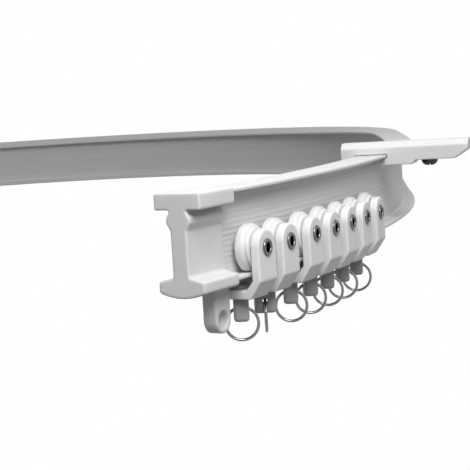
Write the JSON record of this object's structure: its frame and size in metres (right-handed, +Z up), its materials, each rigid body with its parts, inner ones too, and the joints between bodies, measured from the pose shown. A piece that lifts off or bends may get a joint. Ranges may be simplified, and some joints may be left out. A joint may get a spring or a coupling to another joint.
{
  "type": "curtain track",
  "caption": "Bendable ceiling curtain track: I-section rail in a loop with end caps, a ceiling bracket and twin-wheel ring trolleys.",
  "frame": {"origin": "centre of the ceiling bracket's flat top face, which lies against the ceiling", "axes": "+Z up, out of the ceiling face; +X along the near end of the rail towards the loop; +Y to the inside of the loop"},
  "size_m": [0.5222, 0.5093, 0.0548],
  "materials": {
    "rail_plastic": "satin extruded plastic, white",
    "fitting_plastic": "satin moulded plastic, white",
    "trolley_plastic": "satin moulded plastic, white",
    "wheel_plastic": "smooth low-friction plastic, white",
    "rivet_steel": "bright nickel plate",
    "ring_steel": "bright drawn wire",
    "dark_screw": "darkened steel"
  },
  "bodies": {
    "root": {"rail": "rail_plastic", "near_end_cap": "fitting_plastic", "far_end_cap": "fitting_plastic", "bracket": "fitting_plastic", "bracket_screw": "dark_screw"},
    "trolley_1": {"carrier_1": "trolley_plastic", "front_rivet_1": "rivet_steel", "back_rivet_1": "rivet_steel"},
    "front_wheel_1": {"front_wheel_1": "wheel_plastic"},
    "back_wheel_1": {"back_wheel_1": "wheel_plastic"},
    "swivel_1": {"swivel_1": "trolley_plastic"},
    "ring_1": {"ring_1": "ring_steel"},
    "trolley_2": {"carrier_2": "trolley_plastic", "front_rivet_2": "rivet_steel", "back_rivet_2": "rivet_steel"},
    "front_wheel_2": {"front_wheel_2": "wheel_plastic"},
    "back_wheel_2": {"back_wheel_2": "wheel_plastic"},
    "swivel_2": {"swivel_2": "trolley_plastic"},
    "ring_2": {"ring_2": "ring_steel"},
    "trolley_3": {"carrier_3": "trolley_plastic", "front_rivet_3": "rivet_steel", "back_rivet_3": "rivet_steel"},
    "front_wheel_3": {"front_wheel_3": "wheel_plastic"},
    "back_wheel_3": {"back_wheel_3": "wheel_plastic"},
    "swivel_3": {"swivel_3": "trolley_plastic"},
    "ring_3": {"ring_3": "ring_steel"},
    "trolley_4": {"carrier_4": "trolley_plastic", "front_rivet_4": "rivet_steel", "back_rivet_4": "rivet_steel"},
    "front_wheel_4": {"front_wheel_4": "wheel_plastic"},
    "back_wheel_4": {"back_wheel_4": "wheel_plastic"},
    "swivel_4": {"swivel_4": "trolley_plastic"},
    "ring_4": {"ring_4": "ring_steel"},
    "trolley_5": {"carrier_5": "trolley_plastic", "front_rivet_5": "rivet_steel", "back_rivet_5": "rivet_steel"},
    "front_wheel_5": {"front_wheel_5": "wheel_plastic"},
    "back_wheel_5": {"back_wheel_5": "wheel_plastic"},
    "swivel_5": {"swivel_5": "trolley_plastic"},
    "ring_5": {"ring_5": "ring_steel"},
    "trolley_6": {"carrier_6": "trolley_plastic", "front_rivet_6": "rivet_steel", "back_rivet_6": "rivet_steel"},
    "front_wheel_6": {"front_wheel_6": "wheel_plastic"},
    "back_wheel_6": {"back_wheel_6": "wheel_plastic"},
    "swivel_6": {"swivel_6": "trolley_plastic"},
    "ring_6": {"ring_6": "ring_steel"},
    "trolley_7": {"carrier_7": "trolley_plastic", "front_rivet_7": "rivet_steel", "back_rivet_7": "rivet_steel"},
    "front_wheel_7": {"front_wheel_7": "wheel_plastic"},
    "back_wheel_7": {"back_wheel_7": "wheel_plastic"},
    "swivel_7": {"swivel_7": "trolley_plastic"},
    "ring_7": {"ring_7": "ring_steel"}
  },
  "joints": [
    {"name": "trolley_1_travel", "type": "slide", "parent": "root", "child": "trolley_1", "axis": [0.9998, 0.0186, 0], "range_m": [-0.0029, 0.0004]},
    {"name": "front_wheel_1_spin", "type": "hinge", "parent": "trolley_1", "child": "front_wheel_1", "pos_m": [-0.14533, -0.01093, -0.02465], "axis": [-0.0186, 0.9998, 0], "continuous": true},
    {"name": "back_wheel_1_spin", "type": "hinge", "parent": "trolley_1", "child": "back_wheel_1", "pos_m": [-0.14552, -0.00093, -0.02465], "axis": [-0.0186, 0.9998, 0], "continuous": true},
    {"name": "swivel_1_turn", "type": "hinge", "parent": "trolley_1", "child": "swivel_1", "pos_m": [-0.14543, -0.00593, -0.0406], "axis": [0, 0, 1], "continuous": true},
    {"name": "ring_1_swing", "type": "hinge", "parent": "swivel_1", "child": "ring_1", "pos_m": [-0.14543, -0.00593, -0.0442], "axis": [0.516, -0.8566, 0], "range_deg": [-40, 40]},
    {"name": "trolley_2_travel", "type": "slide", "parent": "root", "child": "trolley_2", "axis": [0.999, 0.0446, 0], "range_m": [-0.0004, 0.00215]},
    {"name": "front_wheel_2_spin", "type": "hinge", "parent": "trolley_2", "child": "front_wheel_2", "pos_m": [-0.12891, -0.01041, -0.02465], "axis": [-0.0446, 0.999, 0], "continuous": true},
    {"name": "back_wheel_2_spin", "type": "hinge", "parent": "trolley_2", "child": "back_wheel_2", "pos_m": [-0.12936, -0.00042, -0.02465], "axis": [-0.0446, 0.999, 0], "continuous": true},
    {"name": "swivel_2_turn", "type": "hinge", "parent": "trolley_2", "child": "swivel_2", "pos_m": [-0.12913, -0.00542, -0.0406], "axis": [0, 0, 1], "continuous": true},
    {"name": "ring_2_swing", "type": "hinge", "parent": "swivel_2", "child": "ring_2", "pos_m": [-0.12913, -0.00542, -0.0442], "axis": [0.8611, 0.5084, 0], "range_deg": [-40, 40]},
    {"name": "trolley_3_travel", "type": "slide", "parent": "root", "child": "trolley_3", "axis": [0.9971, 0.076, 0], "range_m": [-0.00215, 0.00075]},
    {"name": "front_wheel_3_spin", "type": "hinge", "parent": "trolley_3", "child": "front_wheel_3", "pos_m": [-0.10899, -0.00921, -0.02465], "axis": [-0.076, 0.9971, 0], "continuous": true},
    {"name": "back_wheel_3_spin", "type": "hinge", "parent": "trolley_3", "child": "back_wheel_3", "pos_m": [-0.10975, 0.00076, -0.02465], "axis": [-0.076, 0.9971, 0], "continuous": true},
    {"name": "swivel_3_turn", "type": "hinge", "parent": "trolley_3", "child": "swivel_3", "pos_m": [-0.10937, -0.00422, -0.0406], "axis": [0, 0, 1], "continuous": true},
    {"name": "ring_3_swing", "type": "hinge", "parent": "swivel_3", "child": "ring_3", "pos_m": [-0.10937, -0.00422, -0.0442], "axis": [0.475, -0.88, 0], "range_deg": [-40, 40]},
    {"name": "trolley_4_travel", "type": "slide", "parent": "root", "child": "trolley_4", "axis": [0.9947, 0.103, 0], "range_m": [-0.00075, 0.00085]},
    {"name": "front_wheel_4_spin", "type": "hinge", "parent": "trolley_4", "child": "front_wheel_4", "pos_m": [-0.09193, -0.00767, -0.02465], "axis": [-0.103, 0.9947, 0], "continuous": true},
    {"name": "back_wheel_4_spin", "type": "hinge", "parent": "trolley_4", "child": "back_wheel_4", "pos_m": [-0.09296, 0.00227, -0.02465], "axis": [-0.103, 0.9947, 0], "continuous": true},
    {"name": "swivel_4_turn", "type": "hinge", "parent": "trolley_4", "child": "swivel_4", "pos_m": [-0.09244, -0.0027, -0.0406], "axis": [0, 0, 1], "continuous": true},
    {"name": "ring_4_swing", "type": "hinge", "parent": "swivel_4", "child": "ring_4", "pos_m": [-0.09244, -0.0027, -0.0442], "axis": [0.5579, -0.8299, 0], "range_deg": [-40, 40]},
    {"name": "trolley_5_travel", "type": "slide", "parent": "root", "child": "trolley_5", "axis": [0.9915, 0.1302, 0], "range_m": [-0.00085, 0.00075]},
    {"name": "front_wheel_5_spin", "type": "hinge", "parent": "trolley_5", "child": "front_wheel_5", "pos_m": [-0.07471, -0.00565, -0.02465], "axis": [-0.1302, 0.9915, 0], "continuous": true},
    {"name": "back_wheel_5_spin", "type": "hinge", "parent": "trolley_5", "child": "back_wheel_5", "pos_m": [-0.07601, 0.00426, -0.02465], "axis": [-0.1302, 0.9915, 0], "continuous": true},
    {"name": "swivel_5_turn", "type": "hinge", "parent": "trolley_5", "child": "swivel_5", "pos_m": [-0.07536, -0.00069, -0.0406], "axis": [0, 0, 1], "continuous": true},
    {"name": "ring_5_swing", "type": "hinge", "parent": "swivel_5", "child": "ring_5", "pos_m": [-0.07536, -0.00069, -0.0442], "axis": [0.4459, -0.8951, 0], "range_deg": [-40, 40]},
    {"name": "trolley_6_travel", "type": "slide", "parent": "root", "child": "trolley_6", "axis": [0.9876, 0.157, 0], "range_m": [-0.00075, 0.00145]},
    {"name": "front_wheel_6_spin", "type": "hinge", "parent": "trolley_6", "child": "front_wheel_6", "pos_m": [-0.05775, -0.00319, -0.02465], "axis": [-0.157, 0.9876, 0], "continuous": true},
    {"name": "back_wheel_6_spin", "type": "hinge", "parent": "trolley_6", "child": "back_wheel_6", "pos_m": [-0.05932, 0.00668, -0.02465], "axis": [-0.157, 0.9876, 0], "continuous": true},
    {"name": "swivel_6_turn", "type": "hinge", "parent": "trolley_6", "child": "swivel_6", "pos_m": [-0.05854, 0.00175, -0.0406], "axis": [0, 0, 1], "continuous": true},
    {"name": "ring_6_swing", "type": "hinge", "parent": "swivel_6", "child": "ring_6", "pos_m": [-0.05854, 0.00175, -0.0442], "axis": [0.5155, -0.8569, 0], "range_deg": [-40, 40]},
    {"name": "trolley_7_travel", "type": "hinge", "parent": "root", "child": "trolley_7", "pos_m": [-0.15713, 0.62196, -0.02465], "axis": [0, 0, 1], "range_deg": [-0.13, 16.06]},
    {"name": "front_wheel_7_spin", "type": "hinge", "parent": "trolley_7", "child": "front_wheel_7", "pos_m": [-0.03948, -0.00001, -0.02465], "axis": [-0.1859, 0.9826, 0], "continuous": true},
    {"name": "back_wheel_7_spin", "type": "hinge", "parent": "trolley_7", "child": "back_wheel_7", "pos_m": [-0.04134, 0.00981, -0.02465], "axis": [-0.1859, 0.9826, 0], "continuous": true},
    {"name": "swivel_7_turn", "type": "hinge", "parent": "trolley_7", "child": "swivel_7", "pos_m": [-0.04041, 0.0049, -0.0406], "axis": [0, 0, 1], "continuous": true},
    {"name": "ring_7_swing", "type": "hinge", "parent": "swivel_7", "child": "ring_7", "pos_m": [-0.04041, 0.0049, -0.0442], "axis": [0.4495, -0.8933, 0], "range_deg": [-40, 40]}
  ],
  "couplings": [
    {"joint": "front_wheel_1_spin", "follows": "trolley_1_travel", "rad_per_m": 131.58},
    {"joint": "back_wheel_1_spin", "follows": "trolley_1_travel", "rad_per_m": 131.58},
    {"joint": "front_wheel_2_spin", "follows": "trolley_2_travel", "rad_per_m": 131.58},
    {"joint": "back_wheel_2_spin", "follows": "trolley_2_travel", "rad_per_m": 131.58},
    {"joint": "front_wheel_3_spin", "follows": "trolley_3_travel", "rad_per_m": 131.58},
    {"joint": "back_wheel_3_spin", "follows": "trolley_3_travel", "rad_per_m": 131.58},
    {"joint": "front_wheel_4_spin", "follows": "trolley_4_travel", "rad_per_m": 131.58},
    {"joint": "back_wheel_4_spin", "follows": "trolley_4_travel", "rad_per_m": 131.58},
    {"joint": "front_wheel_5_spin", "follows": "trolley_5_travel", "rad_per_m": 131.58},
    {"joint": "back_wheel_5_spin", "follows": "trolley_5_travel", "rad_per_m": 131.58},
    {"joint": "front_wheel_6_spin", "follows": "trolley_6_travel", "rad_per_m": 131.58},
    {"joint": "back_wheel_6_spin", "follows": "trolley_6_travel", "rad_per_m": 131.58},
    {"joint": "front_wheel_7_spin", "follows": "trolley_7_travel", "ratio": 83.289},
    {"joint": "back_wheel_7_spin", "follows": "trolley_7_travel", "ratio": 81.974}
  ]
}
